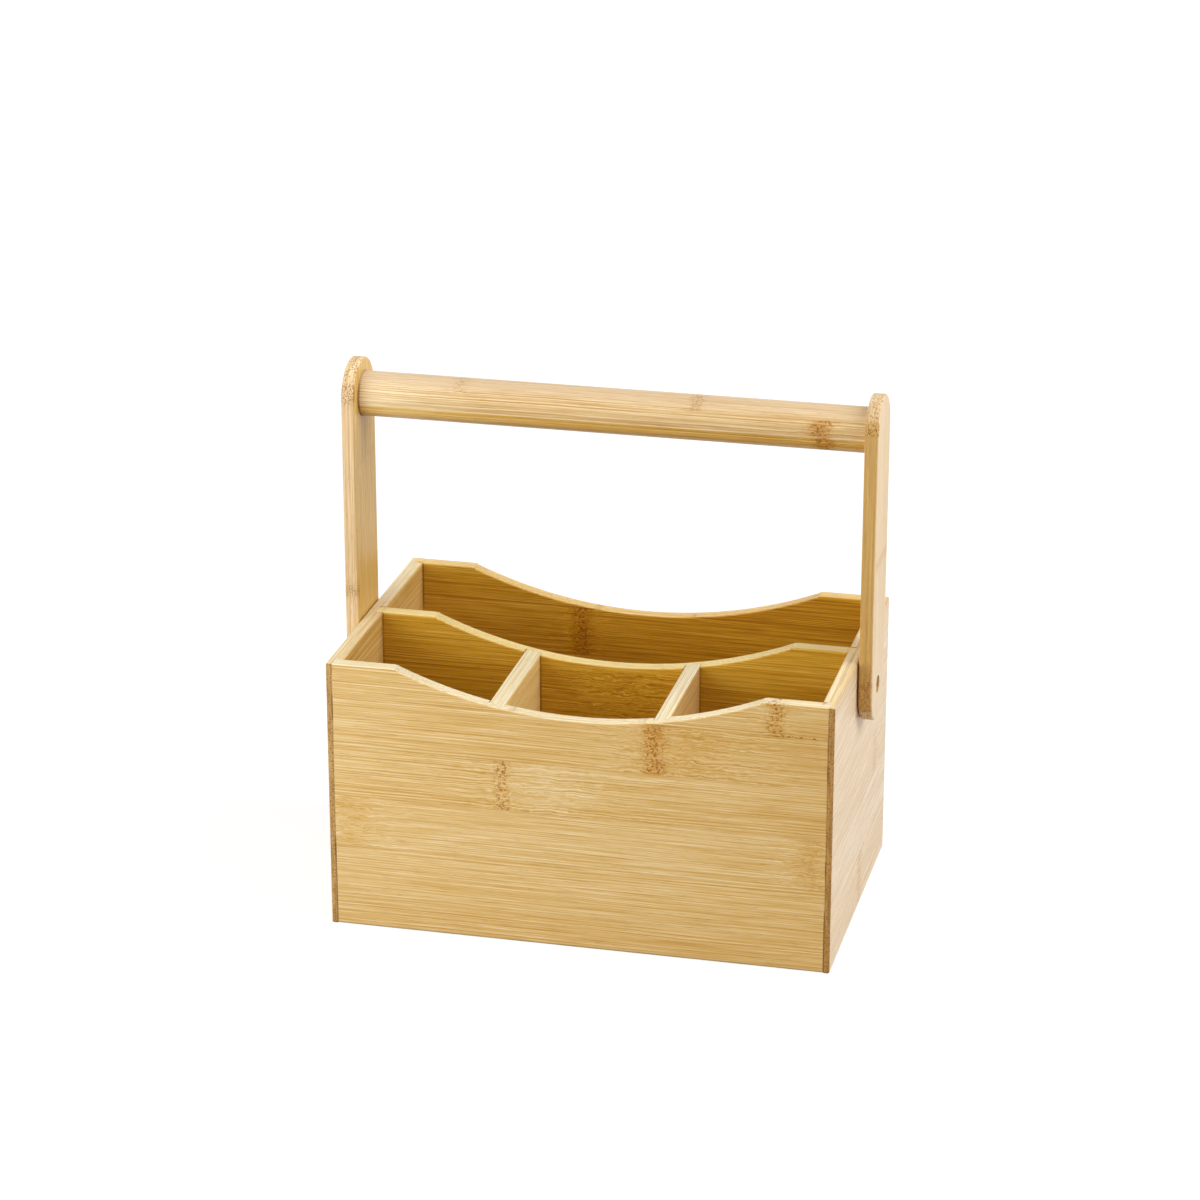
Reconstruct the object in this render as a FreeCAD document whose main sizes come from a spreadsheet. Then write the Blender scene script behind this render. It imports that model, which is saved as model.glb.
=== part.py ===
"""Bamboo utensil caddy with a swing handle, as a parametric FreeCAD document.

The box is glued up from flat boards: the side boards are rabbeted to take the
ends of the front and back boards, a long divider is housed in the side boards,
two cross dividers are housed in the front board and the long divider, and the
bottom board lies in grooves around the inside. The handle is two flat arms and
a rod, and it turns on a screw through each arm's lower end.

Frame: millimetres, X to the right, Y to the back, Z up. The origin is at the
centre of the box on the surface that it stands on. Every sub-part is a body
whose shape lies at its place in this frame.
"""

import FreeCAD, Part
import math
import os
import Sketcher

from FreeCAD import Vector

# The driving dimensions, in millimetres.
DIMENSIONS = [
    ("box_width", 225),  # over the side boards' outer faces
    ("box_depth", 138),  # over the front and back boards' outer faces
    ("box_height", 124),  # bottom edge to the flat top edges
    ("side_thickness", 6.5),  # left and right boards
    ("face_thickness", 6.5),  # front and back boards
    ("divider_thickness", 7),  # long and cross dividers
    ("corner_lip", 2.7),  # what a side board's rabbet leaves at each end
    ("shoulder_width", 30.5),  # outer corner to where the scoop starts
    ("scoop_depth", 16.7),  # flat top edge to the lowest point of the scoop
    ("shoulder_round", 5),  # radius where the scoop meets the flat top edge
    ("edge_round", 0.8),  # radius of the sanded edges
    ("bottom_thickness", 4),
    ("bottom_lift", 4),  # bottom edges of the box to the bottom board
    ("groove_depth", 3),  # of the grooves for the bottom board
    ("bottom_play", 0.5),  # room for the bottom board to swell in its grooves
    ("housing_depth", 3),  # how far the dividers' ends are let in
    ("arm_thickness", 6),
    ("arm_width", 32),
    ("arm_round", 1),  # radius of the arms' edges
    ("pivot_drop", 15),  # flat top edges down to the handle's axis
    ("rod_distance", 116.8),  # the handle's axis to the rod's axis
    ("rod_diameter", 20),
    ("rod_seat_depth", 3.5),  # how far the rod is let into each arm
    ("rod_seat_play", 0.1),  # radial glue gap around the rod's end
    ("rod_chamfer", 0.6),
    ("washer_diameter", 13),
    ("washer_thickness", 0.6),
    ("pivot_play", 0.1),  # arm to washer, and arm to screw head
    ("screw_diameter", 4),
    ("screw_bore_play", 0.05),  # radial, screw to arm, washer and boards
    ("screw_length", 20),  # under the head, with the point
    ("screw_point", 3.5),
    ("head_diameter", 7.2),
    ("head_height", 1.8),
    ("head_dome", 0.6),
    ("recess_diameter", 8),  # for the screw head, in the arm's outer face
    ("recess_depth", 3.8),
    ("drive_span", 3.6),  # end to end of the cross in the screw head
    ("drive_slot", 0.8),
    ("drive_depth", 1.1),
    ("thread_pitch", 1.8),
    ("thread_depth", 0.45),
    ("thread_valley", 0.9),  # share of the pitch that is cut away at the surface
    ("thread_turns", 7),
]

# Places that several sub-parts share, as expressions on the dimensions.
SIDE_OUTER = "Sizes.box_width / 2"
SIDE_INNER = "(Sizes.box_width / 2 - Sizes.side_thickness)"
FACE_OUTER = "Sizes.box_depth / 2"
FACE_INNER = "(Sizes.box_depth / 2 - Sizes.face_thickness)"
FACE_END = "(Sizes.box_width / 2 - Sizes.corner_lip)"
DIVIDER_HALF = "Sizes.divider_thickness / 2"
BOTTOM_TOP = "(Sizes.bottom_lift + Sizes.bottom_thickness)"
SCOOP_HALF = "(Sizes.box_width / 2 - Sizes.shoulder_width)"
SCOOP_RADIUS = f"(({SCOOP_HALF} ^ 2 + Sizes.scoop_depth ^ 2) / (2 * Sizes.scoop_depth))"
SCOOP_CENTRE = f"(Sizes.box_height - Sizes.scoop_depth + {SCOOP_RADIUS})"
# Equal front compartments: the cross dividers stand this far from the middle.
CROSS_CENTRE = f"(2 * {SIDE_INNER} + Sizes.divider_thickness) / 6"
ARM_INNER = "(Sizes.box_width / 2 + Sizes.washer_thickness + Sizes.pivot_play)"
ARM_OUTER = f"({ARM_INNER} + Sizes.arm_thickness)"
PIVOT_HEIGHT = "(Sizes.box_height - Sizes.pivot_drop)"
ROD_HEIGHT = f"({PIVOT_HEIGHT} + Sizes.rod_distance)"
HEAD_SEAT = f"({ARM_OUTER} - Sizes.recess_depth + Sizes.pivot_play)"
SCREW_TIP = f"({HEAD_SEAT} - Sizes.screw_length)"
BORE_RADIUS = "(Sizes.screw_diameter / 2 + Sizes.screw_bore_play)"

NEAR = 1e-4  # how closely a point has to lie on a plane to count as on it

doc = FreeCAD.newDocument("utensil_caddy")


def add_sheet():
    """Put the driving dimensions in a spreadsheet, one alias to a row."""
    sheet = doc.addObject("Spreadsheet::Sheet", "Sizes")
    for row, (alias, value) in enumerate(DIMENSIONS, start=1):
        sheet.set(f"A{row}", alias)
        sheet.set(f"B{row}", str(value))
        sheet.setAlias(f"B{row}", alias)
    doc.recompute()
    return sheet


sizes = add_sheet()


def value(expression):
    """The present value of an expression on the dimensions."""
    return float(sizes.evalExpression(expression))


# ---------------------------------------------------------------- sketching


def add_sketch(body, name, plane, offset="0"):
    """Add a sketch parallel to one of a body's own origin planes.

    `offset` moves it along the plane's normal: +Z for XY, -Y for XZ, +X for YZ.
    """
    support = next(o for o in body.Origin.OriginFeatures if o.Role == f"{plane}_Plane")
    sketch = body.newObject("Sketcher::SketchObject", f"{body.Label}_{name}_sketch")
    sketch.AttachmentSupport = (support, [""])
    sketch.MapMode = "FlatFace"
    sketch.setExpression("AttachmentOffset.Base.z", offset)
    return sketch


def bind_point(sketch, geometry, point, across, up):
    """Hold a sketch point at two expressions, measured from the origin."""
    for kind, expression in (("DistanceX", across), ("DistanceY", up)):
        if expression == "0":
            axis = -2 if kind == "DistanceX" else -1
            sketch.addConstraint(Sketcher.Constraint("PointOnObject", geometry, point, axis))
            continue
        place = value(expression)
        index = sketch.addConstraint(Sketcher.Constraint(kind, -1, 1, geometry, point, place))
        sketch.setExpression(f"Constraints[{index}]", expression)


def draw_outline(sketch, corners):
    """Draw a closed outline of straight edges through bound corners."""
    places = [Vector(value(across), value(up), 0) for across, up in corners]
    first = sketch.GeometryCount
    count = len(corners)
    for step in range(count):
        sketch.addGeometry(Part.LineSegment(places[step], places[(step + 1) % count]))
    for step in range(count):
        following = first + (step + 1) % count
        sketch.addConstraint(Sketcher.Constraint("Coincident", first + step, 2, following, 1))
    for step, (across, up) in enumerate(corners):
        bind_point(sketch, first + step, 1, across, up)


def draw_rectangle(sketch, left, right, low, high):
    """Draw a rectangle between four bound coordinates."""
    draw_outline(sketch, [(left, low), (right, low), (right, high), (left, high)])


def draw_circle(sketch, across, up, radius):
    """Draw a circle with a bound centre and radius."""
    centre = Vector(value(across), value(up), 0)
    index = sketch.addGeometry(Part.Circle(centre, Vector(0, 0, 1), value(radius)))
    bind_point(sketch, index, 3, across, up)
    bound = sketch.addConstraint(Sketcher.Constraint("Radius", index, value(radius)))
    sketch.setExpression(f"Constraints[{bound}]", radius)


def draw_stadium(sketch, half_width, low, high):
    """Draw an upright bar with round ends centred at the heights low and high."""
    half = value(half_width)
    bottom = value(low)
    top = value(high)
    normal = Vector(0, 0, 1)
    upper_circle = Part.Circle(Vector(0, top, 0), normal, half)
    lower_circle = Part.Circle(Vector(0, bottom, 0), normal, half)
    right = sketch.addGeometry(Part.LineSegment(Vector(half, bottom, 0), Vector(half, top, 0)))
    upper = sketch.addGeometry(Part.ArcOfCircle(upper_circle, 0, math.pi))
    left = sketch.addGeometry(Part.LineSegment(Vector(-half, top, 0), Vector(-half, bottom, 0)))
    lower = sketch.addGeometry(Part.ArcOfCircle(lower_circle, math.pi, 2 * math.pi))
    loop = [right, upper, left, lower]
    for step, edge in enumerate(loop):
        following = loop[(step + 1) % len(loop)]
        sketch.addConstraint(Sketcher.Constraint("Tangent", edge, 2, following, 1))
    bind_point(sketch, lower, 3, "0", low)
    bind_point(sketch, upper, 3, "0", high)
    bound = sketch.addConstraint(Sketcher.Constraint("Radius", upper, half))
    sketch.setExpression(f"Constraints[{bound}]", half_width)


# ----------------------------------------------------------------- features


def pad(body, sketch, length, towards_normal=True):
    """Extrude a sketch by a bound length, along its normal or against it."""
    feature = body.newObject("PartDesign::Pad", f"{sketch.Name}_pad")
    feature.Profile = sketch
    feature.setExpression("Length", length)
    feature.Reversed = not towards_normal
    body.Tip = feature
    doc.recompute()
    return feature


def pocket(body, sketch, depth, towards_normal=False):
    """Cut a sketch into the solid by a bound depth, and see that it cuts."""
    before = body.Shape.Volume
    feature = body.newObject("PartDesign::Pocket", f"{sketch.Name}_pocket")
    feature.Profile = sketch
    feature.setExpression("Length", depth)
    feature.Reversed = towards_normal
    body.Tip = feature
    doc.recompute()
    if body.Shape.Volume >= before:
        raise RuntimeError(f"{feature.Name} cuts nothing")
    return feature


def edges_where(body, test):
    """Names of the edges of a body whose ends and middle all pass a test."""
    names = []
    for number, edge in enumerate(body.Shape.Edges, start=1):
        middle = edge.valueAt((edge.FirstParameter + edge.LastParameter) / 2)
        points = [vertex.Point for vertex in edge.Vertexes] + [middle]
        if all(test(point) for point in points):
            names.append(f"Edge{number}")
    return names


def fillet(body, name, radius, test):
    """Round the edges of a body that pass a test, by a bound radius."""
    base = body.Tip
    names = edges_where(body, test)
    if not names:
        raise RuntimeError(f"{body.Label} has no edge for its {name}")
    feature = body.newObject("PartDesign::Fillet", f"{body.Label}_{name}")
    feature.Base = (base, names)
    feature.setExpression("Radius", radius)
    body.Tip = feature
    doc.recompute()
    return feature


def on(coordinate, place):
    """Whether a coordinate lies at a place."""
    return abs(coordinate - place) < NEAR


# ------------------------------------------------------------ the box's boards


def cut_scoop(body, back, thickness):
    """Cut the shared scoop into the top of a board that runs along X.

    `back` is the Y of the board's rear face. The cutter is one large circle
    that meets the flat top edge at the shoulders.
    """
    sketch = add_sketch(body, "scoop", "XZ", f"-({back})")
    draw_circle(sketch, "0", SCOOP_CENTRE, SCOOP_RADIUS)
    pocket(body, sketch, thickness, towards_normal=True)


def round_shoulders(body):
    """Ease the two corners where the scoop meets the flat top edge."""
    top = value("Sizes.box_height")
    half = value(SCOOP_HALF)
    test = lambda p: on(p.z, top) and on(abs(p.x), half)
    fillet(body, "shoulders", "Sizes.shoulder_round", test)


def round_scooped_top(body, faces, bottom_face=None):
    """Round a scooped board's top edges on both faces, and one bottom edge."""
    lowest = value("Sizes.box_height - Sizes.scoop_depth") - NEAR
    test = lambda p: (
        any(on(p.y, face) for face in faces)
        and p.z > lowest
        or bottom_face is not None
        and on(p.y, bottom_face)
        and on(p.z, 0)
    )
    fillet(body, "edges", "Sizes.edge_round", test)


def face_board(label, side):
    """Make the front (side -1) or back (side 1) board with its bottom groove."""
    body = doc.addObject("PartDesign::Body", label)
    back = FACE_OUTER if side > 0 else f"-{FACE_INNER}"
    board = add_sketch(body, "board", "XZ", f"-({back})")
    draw_rectangle(board, f"-{FACE_END}", FACE_END, "0", "Sizes.box_height")
    pad(body, board, "Sizes.face_thickness")
    cut_scoop(body, back, "Sizes.face_thickness")
    round_shoulders(body)
    outer = side * value(FACE_OUTER)
    inner = side * value(FACE_INNER)
    round_scooped_top(body, [outer, inner], bottom_face=outer)
    sign = "-" if side > 0 else ""
    groove = add_sketch(body, "groove", "XZ", f"{sign}{FACE_INNER}")
    draw_rectangle(groove, f"-{FACE_END}", FACE_END, "Sizes.bottom_lift", BOTTOM_TOP)
    pocket(body, groove, "Sizes.groove_depth", towards_normal=side < 0)
    return body


def cut_cross_housings(body, face, towards_normal):
    """Cut a housing for each cross divider, into the face at -Y = `face`."""
    for side, sign in ((-1, "-"), (1, "")):
        name = "left_housing" if side < 0 else "right_housing"
        sketch = add_sketch(body, name, "XZ", face)
        left = f"{sign}{CROSS_CENTRE} - {DIVIDER_HALF}"
        right = f"{sign}{CROSS_CENTRE} + {DIVIDER_HALF}"
        draw_rectangle(sketch, left, right, BOTTOM_TOP, "Sizes.box_height")
        pocket(body, sketch, "Sizes.housing_depth", towards_normal)


def make_front_panel():
    """Front board, with housings for the cross dividers in its inner face."""
    body = face_board("front_panel", side=-1)
    cut_cross_housings(body, FACE_INNER, towards_normal=True)
    return body


def make_back_panel():
    """Back board, plain inside but for the bottom groove."""
    return face_board("back_panel", side=1)


def make_side_panel(side):
    """Left (side -1) or right (side 1) board.

    The ends are rabbeted for the front and back boards, the inner face has the
    bottom groove and the long divider's housing, and the pivot screw passes
    through at the housing.
    """
    body = doc.addObject("PartDesign::Body", "left_side_panel" if side < 0 else "right_side_panel")
    sign = "-" if side < 0 else ""
    outward = side > 0
    board = add_sketch(body, "board", "YZ", f"{sign}{SIDE_OUTER}")
    draw_rectangle(board, f"-{FACE_OUTER}", FACE_OUTER, "0", "Sizes.box_height")
    pad(body, board, "Sizes.side_thickness", towards_normal=not outward)
    outer = side * value(SIDE_OUTER)
    rabbets = (("front", f"-{FACE_OUTER}", f"-{FACE_INNER}"), ("back", FACE_INNER, FACE_OUTER))
    for name, near, far in rabbets:
        rabbet = add_sketch(body, f"{name}_rabbet", "YZ", f"{sign}{SIDE_INNER}")
        draw_rectangle(rabbet, near, far, "0", "Sizes.box_height")
        pocket(body, rabbet, "Sizes.side_thickness - Sizes.corner_lip", towards_normal=outward)
    top = value("Sizes.box_height")
    inner = side * value(SIDE_INNER)
    end = value(FACE_OUTER)
    test = lambda p: on(p.x, outer) or on(p.z, top) and (on(p.x, inner) or on(abs(p.y), end))
    fillet(body, "edges", "Sizes.edge_round", test)
    groove = add_sketch(body, "groove", "YZ", f"{sign}{SIDE_INNER}")
    draw_rectangle(groove, f"-{FACE_INNER}", FACE_INNER, "Sizes.bottom_lift", BOTTOM_TOP)
    pocket(body, groove, "Sizes.groove_depth", towards_normal=outward)
    housing = add_sketch(body, "housing", "YZ", f"{sign}{SIDE_INNER}")
    draw_rectangle(housing, f"-{DIVIDER_HALF}", DIVIDER_HALF, BOTTOM_TOP, "Sizes.box_height")
    pocket(body, housing, "Sizes.housing_depth", towards_normal=outward)
    bore = add_sketch(body, "screw_bore", "YZ", f"{sign}{SIDE_OUTER}")
    draw_circle(bore, "0", PIVOT_HEIGHT, BORE_RADIUS)
    pocket(body, bore, "Sizes.side_thickness", towards_normal=not outward)
    return body


def make_bottom_panel():
    """Bottom board, in the grooves of the four boards around it."""
    body = doc.addObject("PartDesign::Body", "bottom_panel")
    half_width = f"{SIDE_INNER} + Sizes.groove_depth - Sizes.bottom_play"
    half_depth = f"{FACE_INNER} + Sizes.groove_depth - Sizes.bottom_play"
    board = add_sketch(body, "board", "XY", "Sizes.bottom_lift")
    draw_rectangle(board, f"-({half_width})", half_width, f"-({half_depth})", half_depth)
    pad(body, board, "Sizes.bottom_thickness")
    return body


def make_long_divider():
    """Board across the middle, housed in the side boards.

    Its front face has a housing for each cross divider, and each end has a
    blind bore for a pivot screw.
    """
    body = doc.addObject("PartDesign::Body", "long_divider")
    half_length = f"({SIDE_INNER} + Sizes.housing_depth)"
    board = add_sketch(body, "board", "XZ", f"-{DIVIDER_HALF}")
    draw_rectangle(board, f"-{half_length}", half_length, BOTTOM_TOP, "Sizes.box_height")
    pad(body, board, "Sizes.divider_thickness")
    cut_scoop(body, DIVIDER_HALF, "Sizes.divider_thickness")
    round_shoulders(body)
    half = value(DIVIDER_HALF)
    round_scooped_top(body, [-half, half])
    cut_cross_housings(body, DIVIDER_HALF, towards_normal=False)
    bore_depth = f"{half_length} - {SCREW_TIP} + Sizes.pivot_play"
    for side, sign in ((-1, "-"), (1, "")):
        name = "left_screw_bore" if side < 0 else "right_screw_bore"
        bore = add_sketch(body, name, "YZ", f"{sign}{half_length}")
        draw_circle(bore, "0", PIVOT_HEIGHT, BORE_RADIUS)
        pocket(body, bore, bore_depth, towards_normal=side < 0)
    return body


def make_cross_divider(side):
    """Short board between the front board and the long divider.

    The scoop's cutter runs over its top, so that it lies flush with both.
    """
    label = "cross_divider_left" if side < 0 else "cross_divider_right"
    body = doc.addObject("PartDesign::Body", label)
    sign = "-" if side < 0 else ""
    front = f"({FACE_INNER} + Sizes.housing_depth)"
    back = f"({DIVIDER_HALF} - Sizes.housing_depth)"
    length = f"{front} - {back}"
    board = add_sketch(body, "board", "XZ", back)
    left = f"{sign}{CROSS_CENTRE} - {DIVIDER_HALF}"
    right = f"{sign}{CROSS_CENTRE} + {DIVIDER_HALF}"
    draw_rectangle(board, left, right, BOTTOM_TOP, "Sizes.box_height")
    pad(body, board, length)
    cut_scoop(body, f"-{back}", length)
    edges = [side * value(CROSS_CENTRE) + half for half in (-value(DIVIDER_HALF), value(DIVIDER_HALF))]
    lowest = value("Sizes.box_height - Sizes.scoop_depth") - NEAR
    test = lambda p: any(on(p.x, edge) for edge in edges) and p.z > lowest
    fillet(body, "edges", "Sizes.edge_round", test)
    return body


# ------------------------------------------------------------------ the handle


def make_handle_arm(side):
    """Flat bar with round ends, outside a side board.

    The rod's end is seated in its inner face, and the pivot screw's head lies
    in a recess in its outer face.
    """
    body = doc.addObject("PartDesign::Body", "handle_arm_left" if side < 0 else "handle_arm_right")
    sign = "-" if side < 0 else ""
    outward = side > 0
    bar = add_sketch(body, "bar", "YZ", f"{sign}{ARM_INNER}")
    draw_stadium(bar, "Sizes.arm_width / 2", PIVOT_HEIGHT, ROD_HEIGHT)
    pad(body, bar, "Sizes.arm_thickness", towards_normal=outward)
    inner = side * value(ARM_INNER)
    outer = side * value(ARM_OUTER)
    test = lambda p: on(p.x, inner) or on(p.x, outer)
    fillet(body, "edges", "Sizes.arm_round", test)
    seat = add_sketch(body, "rod_seat", "YZ", f"{sign}{ARM_INNER}")
    draw_circle(seat, "0", ROD_HEIGHT, "Sizes.rod_diameter / 2 + Sizes.rod_seat_play")
    pocket(body, seat, "Sizes.rod_seat_depth", towards_normal=outward)
    recess = add_sketch(body, "head_recess", "YZ", f"{sign}{ARM_OUTER}")
    draw_circle(recess, "0", PIVOT_HEIGHT, "Sizes.recess_diameter / 2")
    pocket(body, recess, "Sizes.recess_depth", towards_normal=not outward)
    bore = add_sketch(body, "screw_bore", "YZ", f"{sign}{ARM_OUTER}")
    draw_circle(bore, "0", PIVOT_HEIGHT, BORE_RADIUS)
    pocket(body, bore, "Sizes.arm_thickness", towards_normal=not outward)
    return body


def make_handle_rod():
    """Round rod between the arms, chamfered where it enters them."""
    body = doc.addObject("PartDesign::Body", "handle_rod")
    half_length = f"({ARM_INNER} + Sizes.rod_seat_depth)"
    circle = add_sketch(body, "section", "YZ", f"-{half_length}")
    draw_circle(circle, "0", ROD_HEIGHT, "Sizes.rod_diameter / 2")
    rod = pad(body, circle, f"2 * {half_length}")
    end = value(half_length)
    names = edges_where(body, lambda p: on(abs(p.x), end))
    chamfer = body.newObject("PartDesign::Chamfer", "handle_rod_chamfer")
    chamfer.Base = (rod, names)
    chamfer.setExpression("Size", "Sizes.rod_chamfer")
    body.Tip = chamfer
    doc.recompute()
    return body


# ------------------------------------------------------------------ the pivots


def turn(body, sketch, kind, axis):
    """Turn a sketch right round one of its own axes or edges."""
    feature = body.newObject(f"PartDesign::{kind}", f"{sketch.Name}_turned")
    feature.Profile = sketch
    feature.ReferenceAxis = (sketch, [axis])
    feature.Angle = 360
    body.Tip = feature
    doc.recompute()
    return feature


def cut_thread(body, sign, shank_end):
    """Cut the thread as a row of V-shaped rings that starts at the point.

    The V's cutter stands as far outside the shank as it reaches into it, so at
    the shank's surface it is half as wide as at its base.
    """
    axis = PIVOT_HEIGHT
    shank = f"{axis} + Sizes.screw_diameter / 2"
    middle = f"{shank_end} + Sizes.thread_pitch / 2"
    half_width = "Sizes.thread_pitch * Sizes.thread_valley"
    ring = add_sketch(body, "thread", "XZ")
    corners = [
        (f"{sign}({middle} - {half_width})", f"{shank} + Sizes.thread_depth"),
        (f"{sign}({middle} + {half_width})", f"{shank} + Sizes.thread_depth"),
        (f"{sign}({middle})", f"{shank} - Sizes.thread_depth"),
    ]
    draw_outline(ring, corners)
    centre_line = ring.addGeometry(Part.LineSegment(Vector(0, 0, 0), Vector(1, 0, 0)), True)
    ring.addConstraint(Sketcher.Constraint("Horizontal", centre_line))
    bind_point(ring, centre_line, 1, "0", axis)
    ring.addConstraint(Sketcher.Constraint("DistanceX", centre_line, 1, centre_line, 2, 1))
    groove = turn(body, ring, "Groove", "Axis0")
    rings = body.newObject("PartDesign::LinearPattern", f"{body.Label}_thread")
    rings.Originals = [groove]
    rings.Direction = (ring, ["H_Axis"])
    rings.Reversed = sign == "-"
    rings.Mode = "Spacing"
    rings.setExpression("Offset", "Sizes.thread_pitch")
    rings.setExpression("Occurrences", "Sizes.thread_turns")
    body.Tip = rings
    doc.recompute()


def cut_drive(body, sign, head_end):
    """Cut the cross that a screwdriver turns into the head's flat crown."""
    axis = PIVOT_HEIGHT
    arm = "Sizes.drive_span / 2"
    slot = "Sizes.drive_slot / 2"
    steps = [(arm, slot), (slot, slot), (slot, arm)]
    quarters = [("", ""), ("-", ""), ("-", "-"), ("", "-")]
    corners = []
    for number, (across_sign, up_sign) in enumerate(quarters):
        ordered = steps if number % 2 == 0 else reversed(steps)
        for across, up in ordered:
            corners.append((f"{across_sign}{across}", f"{axis} + {up_sign}{up}"))
    cross = add_sketch(body, "drive", "YZ", f"{sign}{head_end}")
    draw_outline(cross, corners)
    pocket(body, cross, "Sizes.drive_depth", towards_normal=sign == "-")


def make_pivot_screw(side):
    """Domed screw with a cross drive and a ringed thread, along X.

    The half-profile is turned about the handle's axis. The neck under the head
    stays smooth, because the arm turns on it.
    """
    body = doc.addObject("PartDesign::Body", "pivot_screw_left" if side < 0 else "pivot_screw_right")
    sign = "-" if side < 0 else ""
    head_end = f"({HEAD_SEAT} + Sizes.head_height)"
    dome_start = f"({head_end} - Sizes.head_dome)"
    shank_end = f"({SCREW_TIP} + Sizes.screw_point)"
    axis = PIVOT_HEIGHT
    shank = f"{axis} + Sizes.screw_diameter / 2"
    head = f"{axis} + Sizes.head_diameter / 2"
    corners = [
        (SCREW_TIP, axis),
        (shank_end, shank),
        (HEAD_SEAT, shank),
        (HEAD_SEAT, head),
        (dome_start, head),
        (head_end, f"{head} - 2 * Sizes.head_dome"),
        (head_end, axis),
    ]
    profile = add_sketch(body, "profile", "XZ")
    draw_outline(profile, [(f"{sign}{across}", up) for across, up in corners])
    turn(body, profile, "Revolution", f"Edge{len(corners)}")
    cut_thread(body, sign, shank_end)
    cut_drive(body, sign, head_end)
    return body


def make_pivot_washer(side):
    """Flat ring between an arm and its side board, against the board."""
    body = doc.addObject("PartDesign::Body", "pivot_washer_left" if side < 0 else "pivot_washer_right")
    sign = "-" if side < 0 else ""
    ring = add_sketch(body, "ring", "YZ", f"{sign}{SIDE_OUTER}")
    draw_circle(ring, "0", PIVOT_HEIGHT, "Sizes.washer_diameter / 2")
    draw_circle(ring, "0", PIVOT_HEIGHT, BORE_RADIUS)
    pad(body, ring, "Sizes.washer_thickness", towards_normal=side > 0)
    return body


# ------------------------------------------------------------- the whole caddy


def make_caddy():
    """Make every sub-part, the box first and then the handle and its pivots."""
    bodies = [make_front_panel(), make_back_panel(), make_bottom_panel(), make_long_divider()]
    for side in (-1, 1):
        bodies.append(make_side_panel(side))
        bodies.append(make_cross_divider(side))
        bodies.append(make_handle_arm(side))
        bodies.append(make_pivot_screw(side))
        bodies.append(make_pivot_washer(side))
    bodies.append(make_handle_rod())
    return bodies


def check(bodies):
    """Stop if any object failed, or if a sub-part is not one valid solid."""
    doc.recompute()
    for item in doc.Objects:
        if "Invalid" in item.State or "Error" in item.State:
            raise RuntimeError(f"{item.Name} is {item.State}")
    for body in bodies:
        shape = body.Shape
        if shape.isNull() or not shape.isValid() or len(shape.Solids) != 1:
            raise RuntimeError(f"{body.Label} is not one valid solid")


def export(bodies):
    """Write each sub-part to a STEP file named after it."""
    os.makedirs("parts", exist_ok=True)
    for body in bodies:
        body.Shape.exportStep(f"parts/{body.Label}.step")


caddy = make_caddy()
check(caddy)
export(caddy)
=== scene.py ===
"""Utensil caddy in bamboo: the dressed model around its CAD frame.

The box, its partitions, the handle, the pivots and the studio each have a class
that models and dresses its own pieces. Sizes are in metres and in the frame's
coordinates: X to the right, Y to the back, Z up, and the box stands on Z = 0.
"""

import logging
import math
from collections.abc import Callable, Iterator
from contextlib import contextmanager
from dataclasses import dataclass, field, replace
from enum import Enum, IntEnum
from functools import partial, reduce

import bmesh
import bpy
from bpy.types import Material, Node, NodeOutputs, NodeTree, Object
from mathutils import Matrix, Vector


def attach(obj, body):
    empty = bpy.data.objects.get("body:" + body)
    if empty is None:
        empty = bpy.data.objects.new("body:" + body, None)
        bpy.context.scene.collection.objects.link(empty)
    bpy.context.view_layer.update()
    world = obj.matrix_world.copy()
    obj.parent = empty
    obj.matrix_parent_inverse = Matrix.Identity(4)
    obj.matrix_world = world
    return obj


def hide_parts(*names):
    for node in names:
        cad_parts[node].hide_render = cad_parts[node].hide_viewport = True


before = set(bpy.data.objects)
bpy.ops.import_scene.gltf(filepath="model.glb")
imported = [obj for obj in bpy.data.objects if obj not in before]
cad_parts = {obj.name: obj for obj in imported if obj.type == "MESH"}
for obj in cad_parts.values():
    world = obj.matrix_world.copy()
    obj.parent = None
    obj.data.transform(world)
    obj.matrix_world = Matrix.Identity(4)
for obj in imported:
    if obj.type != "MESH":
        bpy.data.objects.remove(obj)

logger = logging.getLogger("caddy")

MM = 0.001
NEAR = 0.02 * MM  # how closely a point lies on a plane to count as on it
WELD = 0.001 * MM  # points that are closer than this become one
PAST = 1 * MM  # how far a cut starts outside the face that it opens
SHARP = 0.15  # radians between two faces whose edge can be rounded
HOLE_FACETS = 72
SMOOTH = math.radians(32)  # faces that meet at less than this are shaded as one

Triple = tuple[float, float, float]
Colour = tuple[float, float, float, float]
Socket = bpy.types.NodeSocket
Feed = Socket | float | Triple | Colour
Test = Callable[[Vector], bool]


class Axis(IntEnum):
    """A direction of the frame, by its index in a vector."""

    X = 0
    Y = 1
    Z = 2


class Side(IntEnum):
    """Left or right half of the caddy, by the sign of its X."""

    LEFT = -1
    RIGHT = 1

    @property
    def word(self) -> str:
        """The side's name, as the frame's nodes have it."""
        return self.name.lower()


class Body(Enum):
    """What a piece moves with."""

    CADDY = "caddy"
    HANDLE = "handle"


class Slot(Enum):
    """Material slot names of the wooden pieces."""

    BOX = "bamboo_box"
    HANDLE = "bamboo_handle"


def srgb(red: float, green: float, blue: float) -> Colour:
    """The linear colour of a display colour whose channels go from 0 to 255.

    Args:
        red: Its red, from 0 to 255.
        green: Its green.
        blue: Its blue.

    Returns:
        The colour, with an alpha of 1.
    """

    def linear(level: float) -> float:
        """One channel on the linear scale."""
        share = level / 255
        return share / 12.92 if share <= 0.04045 else ((share + 0.055) / 1.055) ** 2.4

    return linear(red), linear(green), linear(blue), 1.0


def near(value: float, *places: float) -> bool:
    """Whether a coordinate lies at one of the places."""
    return any(abs(value - place) < NEAR for place in places)


# --- working pieces


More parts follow.
